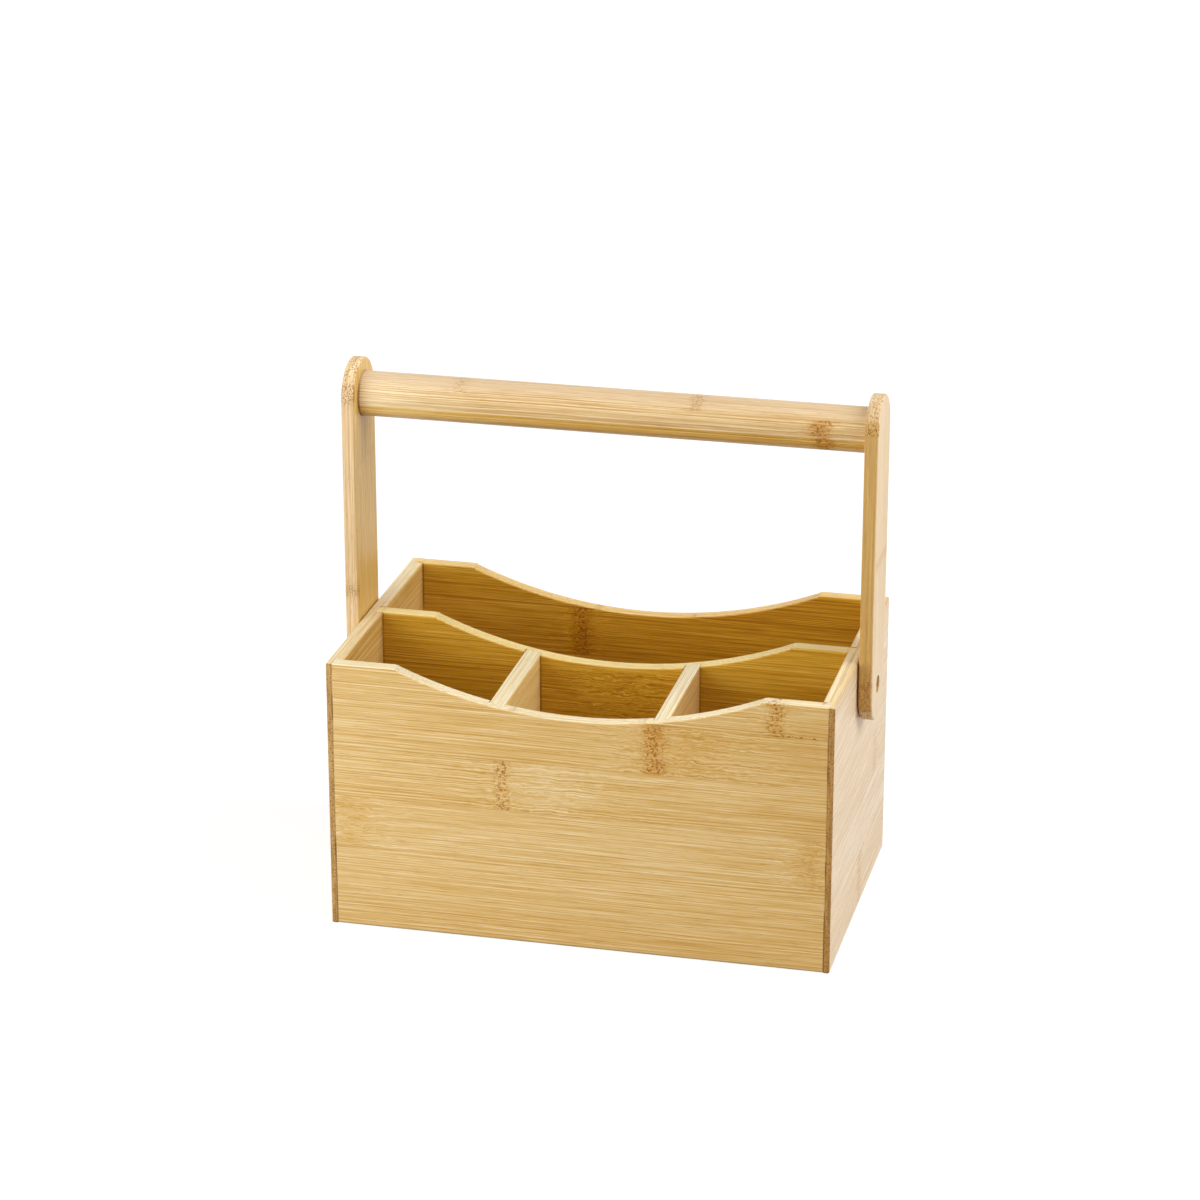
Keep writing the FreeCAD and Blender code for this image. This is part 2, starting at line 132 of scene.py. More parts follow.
def clear_selection() -> None:
    """Deselect every object, out of edit mode."""
    active = bpy.context.view_layer.objects.active
    if active is not None and active.mode != "OBJECT":
        bpy.ops.object.mode_set(mode="OBJECT")
    bpy.ops.object.select_all(action="DESELECT")


def bevel(width: float, segments: int) -> None:
    """Round the selected edges, as far as `width` from each."""
    bpy.ops.mesh.bevel(
        offset=width, segments=segments, profile=0.5, affect="EDGES", clamp_overlap=False
    )


@dataclass
class Workpiece:
    """A mesh shaped with Blender's own tools; its object stays at the origin."""

    obj: Object

    @classmethod
    def _settle(cls, name: str) -> "Workpiece":
        """Name the new primitive and apply its place to its mesh.

        Args:
            name: The piece's name.

        Returns:
            The piece.
        """
        obj = bpy.context.active_object
        obj.name = obj.data.name = name
        bpy.ops.object.transform_apply(location=True, rotation=True, scale=True)
        return cls(obj)

    @classmethod
    def block(cls, name: str, corner: Triple, other: Triple) -> "Workpiece":
        """Saw a block between two opposite corners.

        Args:
            name: The piece's name.
            corner: One corner of the block.
            other: The corner opposite to it.

        Returns:
            The piece.
        """
        clear_selection()
        centre = [(a + b) / 2 for a, b in zip(corner, other)]
        size = [abs(b - a) for a, b in zip(corner, other)]
        bpy.ops.mesh.primitive_cube_add(size=1.0, location=centre, scale=size)
        return cls._settle(name)

    @classmethod
    def turned(
        cls, name: str, axis: Axis, centre: Triple, radius: float, length: float, sides: int
    ) -> "Workpiece":
        """Turn a round bar along X or Y, about its middle.

        Args:
            name: The piece's name.
            axis: The bar's direction, X or Y.
            centre: Its middle.
            radius: Its radius, out to its corners.
            length: Its length.
            sides: How many facets it has round it.

        Returns:
            The piece.
        """
        clear_selection()
        quarter = math.pi / 2
        turn = (quarter, 0, quarter) if axis is Axis.X else (quarter, 0, 0)
        bpy.ops.mesh.primitive_cylinder_add(
            vertices=sides, radius=radius, depth=length, location=centre, rotation=turn
        )
        return cls._settle(name)

    def _pick(self) -> None:
        """Select this piece alone and make it the active one."""
        clear_selection()
        self.obj.select_set(True)
        bpy.context.view_layer.objects.active = self.obj

    @contextmanager
    def editing(self, kind: str, action: str = "DESELECT") -> Iterator[bmesh.types.BMesh]:
        """Edit mode on this piece alone, with nothing selected, or everything.

        Args:
            kind: What is selected in it, VERT or EDGE.
            action: SELECT, to start with everything selected.

        Yields:
            The mesh being edited.
        """
        self._pick()
        bpy.ops.object.mode_set(mode="EDIT")
        bpy.ops.mesh.select_mode(type=kind)
        bpy.ops.mesh.select_all(action=action)
        try:
            yield bmesh.from_edit_mesh(self.obj.data)
        finally:
            bpy.ops.object.mode_set(mode="OBJECT")

    @contextmanager
    def holding(self, test: Test) -> Iterator[None]:
        """Edit mode with those points selected that pass a test.

        Args:
            test: Says whether a point is to be selected.
        """
        with self.editing("VERT") as mesh:
            for vert in mesh.verts:
                vert.select_set(test(vert.co))
            bmesh.update_edit_mesh(self.obj.data)
            yield

    def apply(self, kind: str, **settings: object) -> None:
        """Add a modifier with these settings and apply it.

        Args:
            kind: The modifier's type.
            **settings: Its settings, by name.
        """
        self._pick()
        modifier = self.obj.modifiers.new(kind.lower(), kind)
        for name, value in settings.items():
            setattr(modifier, name, value)
        bpy.ops.object.modifier_apply(modifier=modifier.name)

    def carve(self, cutter: "Workpiece") -> None:
        """Cut another piece's volume out of this one, and drop the cutter."""
        self.apply("BOOLEAN", object=cutter.obj, operation="DIFFERENCE", solver="EXACT")
        bpy.data.objects.remove(cutter.obj, do_unlink=True)

    def notch(self, corner: Triple, other: Triple) -> None:
        """Cut a square housing or rabbet between two opposite corners."""
        self.carve(Workpiece.block("cutter", corner, other))

    def drill(self, x: float, height: float, radius: float, depth: float) -> None:
        """Drill a hole along X from the face at `x`; a negative depth goes to the left.

        Args:
            x: Where the drilled face is.
            height: Z of the hole's axis.
            radius: The hole's radius.
            depth: How far it goes in.
        """
        centre = (x + (depth - math.copysign(PAST, depth)) / 2, 0.0, height)
        length = abs(depth) + PAST
        self.carve(Workpiece.turned("drill", Axis.X, centre, radius, length, HOLE_FACETS))

    def ease(self, test: Test, width: float, segments: int) -> None:
        """Round the edges whose two ends and middle pass a test.

        Args:
            test: Says whether a point lies on an edge to round.
            width: How far the rounding reaches from the edge.
            segments: How many facets it has.
        """
        with self.editing("EDGE") as mesh:
            for edge in mesh.edges:
                ends = [v.co for v in edge.verts]
                sharp = len(edge.link_faces) == 2 and edge.calc_face_angle() > SHARP
                if sharp and all(test(p) for p in (*ends, (ends[0] + ends[1]) / 2)):
                    edge.select_set(True)
            bmesh.update_edit_mesh(self.obj.data)
            bevel(width, segments)

    def split(self, axis: Axis, place: float, width: float = 0.0) -> None:
        """Cut new edges round the piece square to the axis, or a strip that is `width` wide.

        Args:
            axis: The direction that the cut is square to.
            place: Where along it the cut is.
            width: The strip's width, or 0 for new edges alone.
        """
        point, normal = [0.0, 0.0, 0.0], [0.0, 0.0, 0.0]
        point[axis], normal[axis] = place, 1.0
        with self.editing("EDGE", "SELECT"):
            bpy.ops.mesh.bisect(plane_co=point, plane_no=normal, threshold=WELD)
            if width:
                bevel(width / 2, 2)

    def score(self, axis: Axis, places: list[float], width: float, depth: float) -> None:
        """Cut the fine V that shows where two strips are glued together.

        Args:
            axis: The direction in which the strips lie side by side.
            places: Where along it the joints are.
            width: The V's width at the surface.
            depth: Its depth.
        """
        for place in places:
            self.split(axis, place, width)
            with self.holding(lambda p: abs(p[axis] - place) < 2 * WELD):
                bpy.ops.transform.shrink_fatten(value=-depth)

    def finish(
        self, look: "BambooFinish", node: str, slot: Slot = Slot.BOX, body: Body = Body.CADDY
    ) -> None:
        """Smooth the piece, give it its material and put it in the node's place.

        Args:
            look: What it is made of.
            node: The CAD node that it stands for.
            slot: Not used.
            body: What it moves with.
        """
        with self.editing("VERT", "SELECT"):
            bpy.ops.mesh.remove_doubles(threshold=WELD)
            bpy.ops.mesh.normals_make_consistent(inside=False)
        self._pick()
        bpy.ops.object.shade_smooth_by_angle(angle=SMOOTH)
        self.apply("WEIGHTED_NORMAL", keep_sharp=True, weight=80)
        self.obj.data.materials.clear()
        self.obj.data.materials.append(look.material())
        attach(self.obj, body.value)
        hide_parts(node)
        faces = len(self.obj.data.polygons)
        logger.info("%s stands for %s, %d faces", self.obj.name, node, faces)


# --- materials


@dataclass
class Wiring:
    """A node tree being drawn, with short ways to add and join its nodes."""

    tree: NodeTree

    @classmethod
    def material(cls, name: str) -> tuple[Material, "Wiring"]:
        """A new material and its wiring.

        Args:
            name: The material's name.

        Returns:
            The material and the wiring of its nodes.
        """
        material = bpy.data.materials.new(name)
        material.use_nodes = True
        return material, cls(material.node_tree)

    def fill(self, node: Node, feeds: dict[str | int, Feed]) -> None:
        """Join a node's inputs to other sockets, or set them to plain values.

        Args:
            node: The node that is fed.
            feeds: What goes into its inputs, by their names or numbers.
        """
        for name, value in feeds.items():
            if isinstance(value, Socket):
                self.tree.links.new(value, node.inputs[name])
            else:
                node.inputs[name].default_value = value

    def add(self, kind: str, feeds: dict[str | int, Feed], **settings: object) -> Node:
        """Add a node by its type without ShaderNode, with its own settings.

        Args:
            kind: The node's type, without ShaderNode.
            feeds: What goes into its inputs.
            **settings: Its own settings, by name.

        Returns:
            The new node.
        """
        node = self.tree.nodes.new(f"ShaderNode{kind}")
        for name, value in settings.items():
            setattr(node, name, value)
        self.fill(node, feeds)
        return node

    def math(self, operation: str, *terms: Feed, clamp: bool = False) -> Socket:
        """Work out one operation on up to three numbers."""
        feeds = dict(enumerate(terms))
        return self.add("Math", feeds, operation=operation, use_clamp=clamp).outputs[0]

    def along(self, share: Feed, factor: Feed, start: Feed, clamp: bool = False) -> Socket:
        """The start, and the share times the factor on top of it."""
        return self.math("MULTIPLY_ADD", share, factor, start, clamp=clamp)

    def size(self, value: Feed) -> Socket:
        """The number without its sign."""
        return self.math("ABSOLUTE", value)

    def total(self, *terms: Feed) -> Socket:
        """The sum of the terms."""
        return reduce(partial(self.math, "ADD"), terms)

    def product(self, *terms: Feed) -> Socket:
        """The product of the terms."""
        return reduce(partial(self.math, "MULTIPLY"), terms)

    def blend(self, sockets: NodeOutputs, shares: dict[str, float], *rest: Feed) -> Socket:
        """Add up named outputs, each times its share, and the rest as it is."""
        weighted = (self.product(sockets[name], share) for name, share in shares.items())
        return self.total(*weighted, *rest)

    def step(
        self, value: Feed, low: float, high: float, to_low: float = 0.0, to_high: float = 1.0
    ) -> Socket:
        """A smooth step, from `to_low` below `low` to `to_high` above `high`."""
        feeds = dict(enumerate((value, low, high, to_low, to_high)))
        return self.add("MapRange", feeds, interpolation_type="SMOOTHSTEP").outputs[0]

    def tint(self, share: Feed, below: Feed, above: Feed, kind: str = "MIX") -> Socket:
        """Mix a colour with a share of the one above it."""
        feeds = {0: share, 6: below, 7: above}
        return self.add("Mix", feeds, data_type="RGBA", blend_type=kind).outputs[2]

    def split(self, vector: Feed) -> list[Socket]:
        """The three numbers of a vector."""
        return list(self.add("SeparateXYZ", {0: vector}).outputs)

    def join(self, x: Feed, y: Feed, z: Feed) -> Socket:
        """A vector of three numbers."""
        return self.add("CombineXYZ", {0: x, 1: y, 2: z}).outputs[0]

    def stretch(self, vector: Feed, along: float, over: float) -> Socket:
        """Scale a grain vector by one number along the grain and one over it."""
        feeds = {0: vector, 1: (along, over, over)}
        return self.add("VectorMath", feeds, operation="MULTIPLY").outputs[0]

    def noise(
        self, place: Feed, detail: float = 2.0, rough: float = 0.55, size: str = "3D"
    ) -> Node:
        """Cloud noise at a place that is already scaled.

        Args:
            place: Where it is read, already scaled.
            detail: How many finer layers it has.
            rough: How strong the finer layers are.
            size: How many dimensions it has, 3D or 1D.

        Returns:
            The noise's node.
        """
        feeds = {"W" if size == "1D" else "Vector": place, "Scale": 1.0}
        feeds |= {"Detail": detail, "Roughness": rough}
        return self.add("TexNoise", feeds, noise_dimensions=size)

    def swing(self, place: Feed, *manner: float | str) -> Socket:
        """Cloud noise of this manner as a number about zero, from -1 to 1."""
        return self.along(self.noise(place, *manner).outputs[0], 2.0, -1.0)

    def bump(self, height: Feed, strength: float, depth: float) -> Socket:
        """The surface's direction, as a height changes it."""
        feeds = {"Height": height, "Strength": strength, "Distance": depth}
        return self.add("Bump", feeds).outputs[0]

    def group(
        self, name: str, draw: "Draw", place: Feed, numbers: dict[str, float]
    ) -> NodeOutputs:
        """Add a group node, and draw the group when it is first asked for.

        Args:
            name: The group's name.
            draw: Draws it from its inputs, and says what each output is.
            place: What goes into its vector input, Place.
            numbers: What goes into its number inputs.

        Returns:
            The node's outputs.
        """
        tree = bpy.data.node_groups.get(name)
        if tree is None:
            tree = bpy.data.node_groups.new(name, "ShaderNodeTree")
            kinds = {"Place": "Vector"} | dict.fromkeys(numbers, "Float")
            for title, kind in kinds.items():
                tree.interface.new_socket(title, in_out="INPUT", socket_type=f"NodeSocket{kind}")
            inner = Wiring(tree)
            results = draw(inner, tree.nodes.new("NodeGroupInput").outputs)
            for title, value in results.items():
                kind = "NodeSocketVector" if value.type == "VECTOR" else "NodeSocketFloat"
                tree.interface.new_socket(title, in_out="OUTPUT", socket_type=kind)
            inner.fill(tree.nodes.new("NodeGroupOutput"), results)
        return self.add("Group", {"Place": place, **numbers}, node_tree=tree).outputs


Draw = Callable[[Wiring, NodeOutputs], dict[str, Socket]]


def draw_mark(net: Wiring, given: NodeOutputs) -> dict[str, Socket]:
    """One growth mark: where it is, and how the grain curls near it.

    Args:
        net: The group's wiring.
        given: The group's inputs.

    Returns:
        What the group gives out, by name.
    """
    along, over, through = net.split(given["Place"])
    wander = net.swing(net.join(net.product(over, 170.0), given["At"], 3.0))
    offset = net.math("SUBTRACT", along, given["At"])
    offset = net.along(wander, net.product(given["Reach"], -1.1), offset)
    share = net.math("DIVIDE", offset, given["Reach"])
    square = net.product(share, share)
    above = net.math("SUBTRACT", over, given["Low"])
    below = net.math("SUBTRACT", given["High"], over)
    strip = net.product(*(net.step(gap, 0.0, 0.3 * MM) for gap in (above, below)))
    mask, close = (
        net.product(net.math("EXPONENT", net.product(square, rate)), strip)
        for rate in (-1.0, -0.16)
    )
    turn = net.split(net.noise(net.stretch(given["Place"], 95.0, 210.0)).outputs[1])
    bend = net.product(close, given["Curl"], 2.0)
    moved = (
        net.along(net.math("SUBTRACT", turn[i], 0.5), bend, start)
        for i, start in ((1, over), (2, through))
    )
    return {"Place": net.join(along, *moved), "Mask": mask}


def draw_grain(net: Wiring, given: NodeOutputs) -> dict[str, Socket]:
    """Bamboo's grain: strips, fibres, bundles and pores; scales are in 1/m.

    Args:
        net: The group's wiring.
        given: The group's inputs.

    Returns:
        What the group gives out, by name.
    """
    along, over, through = net.split(given["Place"])
    count = net.math("DIVIDE", net.math("SUBTRACT", over, given["Joint"]), given["Strip"])
    ply = net.math("GREATER_THAN", through, given["Ply"])
    row = net.total(net.math("FLOOR", count), net.product(ply, 17.0), given["Seed"])
    chance = net.add("TexWhiteNoise", {"W": row}, noise_dimensions="1D")
    lots = net.split(chance.outputs["Color"])
    moved = net.along(lots[0], 3.7, along)
    drift = net.noise(net.stretch(net.join(moved, over, through), 7.0, 26.0), 1.0)
    drifts = net.split(drift.outputs[1])
    shifted = [net.along(drifts[i], 1.6 * MM, start) for i, start in ((0, over), (1, through))]
    place = net.join(moved, *shifted)
    layers = net.along(shifted[1], 0.8, shifted[0])
    threads = net.swing(net.product(layers, 1300.0), 1.0, 0.8, "1D")
    fine = net.swing(net.stretch(place, 26.0, 2200.0), 2.0, 0.75)
    edge = net.math("FRACT", count)
    edge = net.math("MINIMUM", edge, net.math("SUBTRACT", 1.0, edge))
    edge = net.product(edge, given["Strip"])
    to_ply = net.size(net.math("SUBTRACT", through, given["Ply"]))
    seam = net.step(net.math("MINIMUM", edge, to_ply), 0.08 * MM, 0.26 * MM, 1.0, 0.0)
    patch = net.swing(net.stretch(place, 60.0, 20.0), 2.0, 0.7)
    feeds = {"Vector": net.stretch(place, 6.0, 980.0), "Scale": 1.0, "Randomness": 1.0}
    bundles = net.add("TexVoronoi", feeds, feature="F1").outputs["Distance"]
    pores = net.noise(net.stretch(place, 150.0, 2300.0), 1.0).outputs[0]
    return {
        "Broad": net.swing(net.stretch(place, 4.0, 55.0), 1.0),
        "Middle": net.swing(net.stretch(place, 8.0, 640.0), 2.0, 0.6),
        "Fine": net.along(threads, 0.6, fine),
        "Line": net.step(bundles, 0.10, 0.46, 1.0, 0.0),
        "Pore": net.step(pores, 0.60, 0.72),
        "Tone": net.along(lots[1], 2.0, -1.0),
        "Tint": net.along(lots[2], 2.0, -1.0),
        "Seam": net.product(seam, net.step(patch, -0.25, 0.35, 0.15, 1.0)),
    }


TONE_SHARES = {"Broad": 0.15, "Middle": 0.07, "Fine": 0.75, "Line": -0.18, "Tone": 0.10}
TONE_START = 0.54
DIRT_SHARES = {"Pore": 0.22, "Seam": 0.42}
RELIEF_SHARES = {"Fine": 0.25, "Line": -0.35, "Pore": -0.5}


@dataclass(frozen=True)
class Tones:
    """The display colours of one board, each as red, green and blue."""

    dark: Triple = (196, 148, 62)  # the darkest streaks
    body: Triple = (218, 180, 111)  # what most of the face is
    pale: Triple = (237, 213, 164)  # the palest streaks
    rim: Triple = (246, 216, 167)  # the narrow faces, across the strips
    end: Triple = (160, 118, 52)  # the cut ends of the fibres


# Darker, more saturated gold of the boards inside the box: partly the bamboo's tone, partly
# painted shade of the inside.
INTERIOR_GOLD_AND_SHADE = Tones((172, 116, 14), (212, 160, 36), (238, 196, 88), (234, 192, 114))
RIM_SPREAD = ((0.86, 0.80, 0.64), (1.10, 1.15, 1.30))  # darkest and palest of a rim
RIM_BRIGHTEST = 250
DOT_SHADE = (0.72, 0.60, 0.42)  # fibre bundles against the cut end around them
PATCH_SHADE = (0.84, 0.78, 0.62)  # the cut end's darker patches
WARMTH = (1.0, 0.90, 0.72, 1.0)  # what the warmest strips are multiplied by
DIRT_COLOUR: Triple = (146, 92, 14)
# colour of the dark glue lines and of the painted shade lines in corners, creases and along the
# foot
STAIN_AND_SHADE_COLOUR: Triple = (104, 62, 18)


def shaded(colour: Triple, shade: Triple) -> Colour:
    """The linear colour of a display colour, each channel times its shade."""
    return srgb(*(min(RIM_BRIGHTEST, level * share) for level, share in zip(colour, shade)))


@dataclass(frozen=True)
class Layer:
    """The part of a board that lies nearer 0, in colours of its own; on some pieces the layers'
    colours paint the sheen or the shade that falls on their faces.
    """

    axis: Axis  # the direction through the board
    limit: float  # how far from 0 the layer reaches
    tones: Tones  # its colours


@dataclass(frozen=True)
class Stain:
    """A thin dark line beside a joint, on both sides of 0: a glue line, or painted shade in a
    corner or crease between parts.
    """

    axis: Axis  # the direction over the joint
    at: float  # how far the joint is from 0
    width: float = 0.4 * MM  # how far the line reaches from it
    strength: float = 1.0  # how dark it is, 0 to 1
    least: float = 0.2  # the share of that where the line is faintest
    top: float = 1.0  # the height at which the line has faded out
    back: float = 1.0  # the Y beyond which it doesn't show


@dataclass(frozen=True)
class Mark:
    """A place where growth shows on one strip, such as a knuckle, or a gradual change of tone,
    which on some boards paints light and shade; in millimetres.
    """

    at: float  # its place along the grain
    strip: tuple[float, float] = (-1000.0, 1000.0)  # the strip's edges, across the grain
    reach: float = 4.2  # how far it spreads along the grain
    specks: float = 1.0  # how strongly brown specks show in it, 0 to 1
    tone: float = -0.1  # how much paler, or if negative darker, the ground is
    curl: float = 1.6  # how far the grain curls near it

    def numbers(self) -> dict[str, float]:
        """The mark's lengths in metres, as its node group takes them.

        Returns:
            The lengths, by the group's inputs.
        """
        low, high = self.strip
        sizes = {"At": self.at, "Low": low, "High": high, "Reach": self.reach, "Curl": self.curl}
        return {name: size * MM for name, size in sizes.items()}


def shade(at: float, reach: float, tone: float, **place: tuple[float, float]) -> Mark:
    """A gradual change of tone alone, on every strip unless one is named; several of these paint
    light and shade along a piece.
    """
    return Mark(at, reach=reach, specks=0.0, tone=tone, curl=0.0, **place)


@dataclass(frozen=True)
class BambooFinish:
    """Clear-lacquered bamboo board, glued up from strips."""

    name: str  # what the material's name starts with
    grain: Axis  # the direction of the fibres
    across: Axis  # the direction in which strips lie side by side
    tones: Tones = Tones()  # the board's colours
    strip: float = 23.5 * MM  # how wide a strip is
    joint: float = 0.0  # where one joint between strips is
    ply: float = 10.0  # where the joint between two layers is, on the third axis
    seed: float = 0.0  # sets this board's own pattern
    marks: tuple[Mark, ...] = ()  # its growth marks, and changes of tone of which several paint light and shade
    stains_and_shade: tuple[Stain, ...] = ()  # the dark lines beside its joints: glue lines and painted shade
    layer: Layer | None = None  # the layer with other colours, where it has one
    fleck: float = 1.3 * MM  # how large the brown specks of a growth mark are

    def material(self) -> Material:
        """Draw the material's nodes.

        Returns:
            The finished material.
        """
        material, net = Wiring.material(f"{self.name} bamboo")
        where = net.add("TexCoord", {}).outputs
        spots, facing = net.split(where["Object"]), net.split(where["Normal"])
        place, ground, spotted = self._marked(net, net.join(*self._turned(spots)))
        flecks = net.noise(net.stretch(place, 1 / self.fleck, 1.2 / self.fleck), 2.0, 0.7)
        specks = net.product(net.step(flecks.outputs[0], 0.51, 0.57), spotted)
        sizes = {"Strip": self.strip, "Joint": self.joint, "Ply": self.ply, "Seed": self.seed}
        grain = net.group("bamboo grain", draw_grain, place, sizes)
        level = net.blend(grain, TONE_SHARES, ground, TONE_START)
        colour = self._ramp(net, level, self.tones)
        if self.layer is not None:
            depth = net.size(spots[self.layer.axis])
            deep = net.math("LESS_THAN", depth, self.layer.limit)
            colour = net.tint(deep, colour, self._ramp(net, level, self.layer.tones))
        warm = net.along(ground, -2.4, net.along(grain["Tint"], 0.10, 0.10))
        warm = net.along(spotted, 0.7, warm, clamp=True)
        colour = net.tint(warm, colour, WARMTH, "MULTIPLY")
        rim = net.step(net.size(facing[self.across]), 0.45, 0.9)
        low, high = (shaded(self.tones.rim, spread) for spread in RIM_SPREAD)
        colour = net.tint(rim, colour, net.tint(level, low, high))
        end = net.step(net.size(facing[self.grain]), 0.25, 0.75)
        colour = net.tint(end, colour, self._cut_end(net, spots, grain["Line"]))
        dirt = net.math("MINIMUM", net.blend(grain, DIRT_SHARES, specks), 0.9)
        colour = net.tint(dirt, colour, srgb(*DIRT_COLOUR))
        upright = net.step(net.size(facing[Axis.Z]), 0.3, 0.9, 1.0, 0.3)
        # Dark lines: glue lines at joints, and painted shade in corners, creases and along the
        # foot.
        for stain in self.stains_and_shade:
            line = self._line(net, spots, stain, upright)
            colour = net.tint(line, colour, srgb(*STAIN_AND_SHADE_COLOUR))
        height = net.blend(grain, RELIEF_SHARES, net.product(specks, -0.7))
        surface = {
            "Base Color": colour,
            "Roughness": net.along(end, 0.12, net.along(grain["Fine"], 0.06, 0.47)),
            "IOR": 1.5,
            "Specular IOR Level": 0.3,
            "Coat Weight": 0.15,
            "Coat Roughness": 0.26,
            "Normal": net.bump(height, 0.5, 0.06 * MM),
        }
        net.fill(material.node_tree.nodes["Principled BSDF"], surface)
        return material

    def _turned(self, spots: list[Socket]) -> list[Socket]:
        """A place's three numbers along, across and through the grain."""
        grain, across = self.grain, self.across
        return [spots[i] for i in (grain, across, 3 - grain - across)]

    def _marked(self, net: Wiring, place: Feed) -> tuple[Feed, Feed, Feed]:
        """Run the place through every mark, growth marks and painted changes of light alike.

        Args:
            net: The material's wiring.
            place: The place along, across and through the grain.

        Returns:
            The curled place, the change of ground tone, and how speckled it is.
        """
        ground: Feed = 0.0
        spotted: Feed = 0.0
        for mark in self.marks:
            node = net.group("growth mark", draw_mark, place, mark.numbers())
            place, mask = node["Place"], node["Mask"]
            ground = net.along(mask, mark.tone, ground)
            spotted = net.along(mask, mark.specks, spotted)
        return place, ground, spotted

    def _ramp(self, net: Wiring, level: Feed, tones: Tones) -> Socket:
        """Colours from the darkest to the palest streak, by level.

        Args:
            net: The material's wiring.
            level: How pale the streak is, 0 to 1.
            tones: The colours.

        Returns:
            The colour.
        """
        ramp = net.add("ValToRGB", {0: level})
        stops = ramp.color_ramp.elements
        stops[0].position, stops[0].color = 0.12, srgb(*tones.dark)
        stops[1].position, stops[1].color = 0.92, srgb(*tones.pale)
        stops.new(0.52).color = srgb(*tones.body)
        return ramp.outputs[0]

    def _cut_end(self, net: Wiring, spots: list[Socket], bundles: Feed) -> Socket:
        """The colour where fibres are cut across: dots on a patchy ground.

        Args:
            net: The material's wiring.
            spots: The place's X, Y and Z.
            bundles: How much of a fibre bundle's line shows, 0 to 1.

        Returns:
            The colour.
        """
        _, over, through = self._turned(spots)
        place = net.join(net.product(over, 70.0), net.product(through, 900.0), self.seed)
        streaks = net.step(net.swing(place, 3.0), -0.35, 0.35)
        ground = net.tint(streaks, shaded(self.tones.end, PATCH_SHADE), srgb(*self.tones.end))
        return net.tint(net.step(bundles, 0.1, 0.6), ground, shaded(self.tones.end, DOT_SHADE))

    def _line(self, net: Wiring, spots: list[Socket], stain: Stain, upright: Feed) -> Socket:
        """How strongly a dark line shows, glue line or painted shade, on a face that is more or
        less upright.

        Args:
            net: The material's wiring.
            spots: The place's X, Y and Z.
            stain: The dark line, a glue line or painted shade.
            upright: Its share by the face's direction.

        Returns:
            How dark it is here, 0 to 1.
        """
        gap = net.size(net.math("SUBTRACT", net.size(spots[stain.axis]), stain.at))
        line = net.step(gap, 0.5 * stain.width, stain.width, 1.0, 0.0)
        patch = net.swing(net.stretch(net.join(*spots), 45.0, 45.0))
        patch = net.step(patch, -0.1, 0.3, stain.least, 1.0)
        fade = net.step(spots[Axis.Z], 0.7 * stain.top, stain.top, 1.0, 0.0)
        shown = net.math("LESS_THAN", spots[Axis.Y], stain.back)
        return net.product(line, patch, upright, fade, stain.strength, shown)


@dataclass(frozen=True)
class SteelFinish:
    """Zinc-plated steel of the screws and washers."""

    name: str = "plated steel"
    colour: Triple = (196, 194, 188)
    dull: Triple = (150, 144, 132)

    def material(self) -> Material:
        """Draw the material's nodes.

        Returns:
            The finished material.
        """
        material, net = Wiring.material(self.name)
        place = net.add("TexCoord", {}).outputs["Object"]
        cloud = net.swing(net.stretch(place, 900.0, 900.0), 3.0)
        surface = {
            "Base Color": net.tint(
                net.step(cloud, 0.1, 0.8), srgb(*self.colour), srgb(*self.dull)
            ),
            "Roughness": net.along(cloud, 0.08, 0.34),
            "Metallic": 1.0,
            "Normal": net.bump(cloud, 0.2, 0.03 * MM),
        }
        net.fill(material.node_tree.nodes["Principled BSDF"], surface)
        return material


# --- sub-assemblies


@dataclass
class Scoop:
    """The shallow hollow along the top of the boards, one large circle."""

    box_width: float = 225 * MM
    box_height: float = 124 * MM
    shoulder: float = 30.5 * MM
    depth: float = 16.7 * MM
    shoulder_round: float = 5 * MM
    cutter_length: float = 300 * MM
    facets: int = 900

    @property
    def half(self) -> float:
        """Half the hollow's width."""
        return self.box_width / 2 - self.shoulder

    @property
    def radius(self) -> float:
        """The circle's radius."""
        return (self.half**2 + self.depth**2) / (2 * self.depth)

    @property
    def lowest(self) -> float:
        """A height just below every upper edge."""
        return self.box_height - self.depth - NEAR

    def board(self, name: str, low: Triple, high: Triple, shoulders: bool = True) -> Workpiece:
        """Saw a board, hollow its top and round the corners that this leaves.

        Args:
            name: The piece's name.
            low: A lower corner of the board.
            high: The upper corner opposite to it.
            shoulders: Whether the hollow's ends are rounded.

        Returns:
            The board.
        """
        board = Workpiece.block(name, low, high)
        centre = (0.0, 0.0, self.box_height - self.depth + self.radius)
        size = (self.radius, self.cutter_length, self.facets)
        board.carve(Workpiece.turned("cutter", Axis.Y, centre, *size))

        def corner(point: Vector) -> bool:
            """Whether a point is on a shoulder's corner line."""
            return near(point.z, self.box_height) and abs(abs(point.x) - self.half) < 0.3 * MM

        if shoulders:
            angle = math.asin(self.half / self.radius)
            board.ease(corner, self.shoulder_round * math.tan(angle / 2), 5)
        return board


